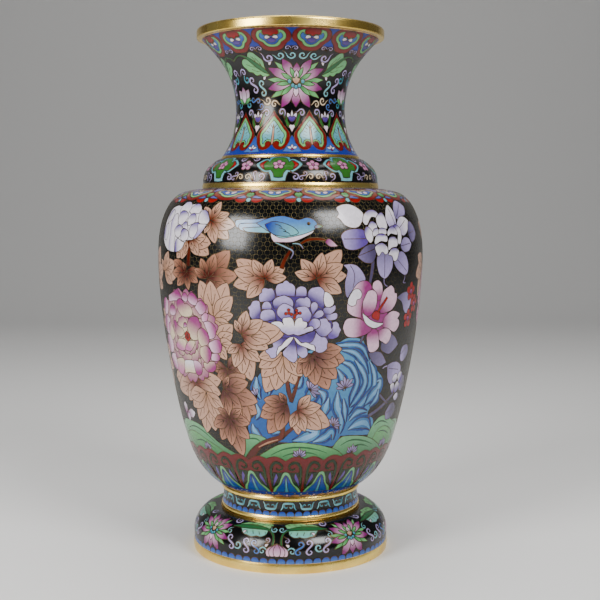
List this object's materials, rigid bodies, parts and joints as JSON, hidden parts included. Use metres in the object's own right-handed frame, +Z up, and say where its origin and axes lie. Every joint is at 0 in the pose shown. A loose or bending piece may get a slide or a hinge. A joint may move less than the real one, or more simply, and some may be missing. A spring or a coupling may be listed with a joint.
{
  "type": "cloisonne vase",
  "caption": "Tall baluster cloisonne vase with a flared neck, stepped collar and domed foot under gilt rings, enamelled with birds and flowers on black.",
  "frame": {"origin": "centre of the circle that the base ring stands on", "axes": "+Z up along the vase's axis; -Y faces the front of the picture, with the bird on its upper right; +X to the viewer's right"},
  "size_m": [0.2348, 0.2348, 0.46],
  "materials": {
    "gilt": "polished gilding, softly worn",
    "copper_sheet": "raised sheet copper, unpolished",
    "wire": "fine gilt wire, ground level with the enamel",
    "neck_enamel": "polished glass enamel, black ground with lotus scrolls",
    "collar_enamel": "polished glass enamel, black ground with clouds and flowers",
    "body_enamel": "polished glass enamel, black diaper ground with flowers, birds and rocks",
    "stem_enamel": "polished glass enamel, black ground with cloud scrolls",
    "foot_enamel": "polished glass enamel, black ground with lotus scrolls",
    "lining_enamel": "thin glass enamel, plain turquoise blue"
  },
  "bodies": {
    "root": {"base_enamel": "lining_enamel", "base_plate": "copper_sheet", "base_ring": "gilt", "body_border_wires": "wire", "body_enamel": "body_enamel", "body_floor": "copper_sheet", "body_lining": "lining_enamel", "collar_border_wires": "wire", "collar_enamel": "collar_enamel", "collar_lining": "lining_enamel", "collar_ring": "gilt", "collar_shell": "copper_sheet", "floor_lining": "lining_enamel", "foot_border_wires": "wire", "foot_enamel": "foot_enamel", "foot_shell": "copper_sheet", "lip_ring": "gilt", "lower_body_shell": "copper_sheet", "neck_border_wires": "wire", "neck_enamel": "neck_enamel", "neck_lining": "lining_enamel", "neck_ring": "gilt", "neck_shell": "copper_sheet", "stem_border_wires": "wire", "stem_enamel": "stem_enamel", "stem_ring": "gilt", "stem_shell": "copper_sheet", "upper_body_shell": "copper_sheet", "waist_ring": "gilt"}
  },
  "joints": []
}
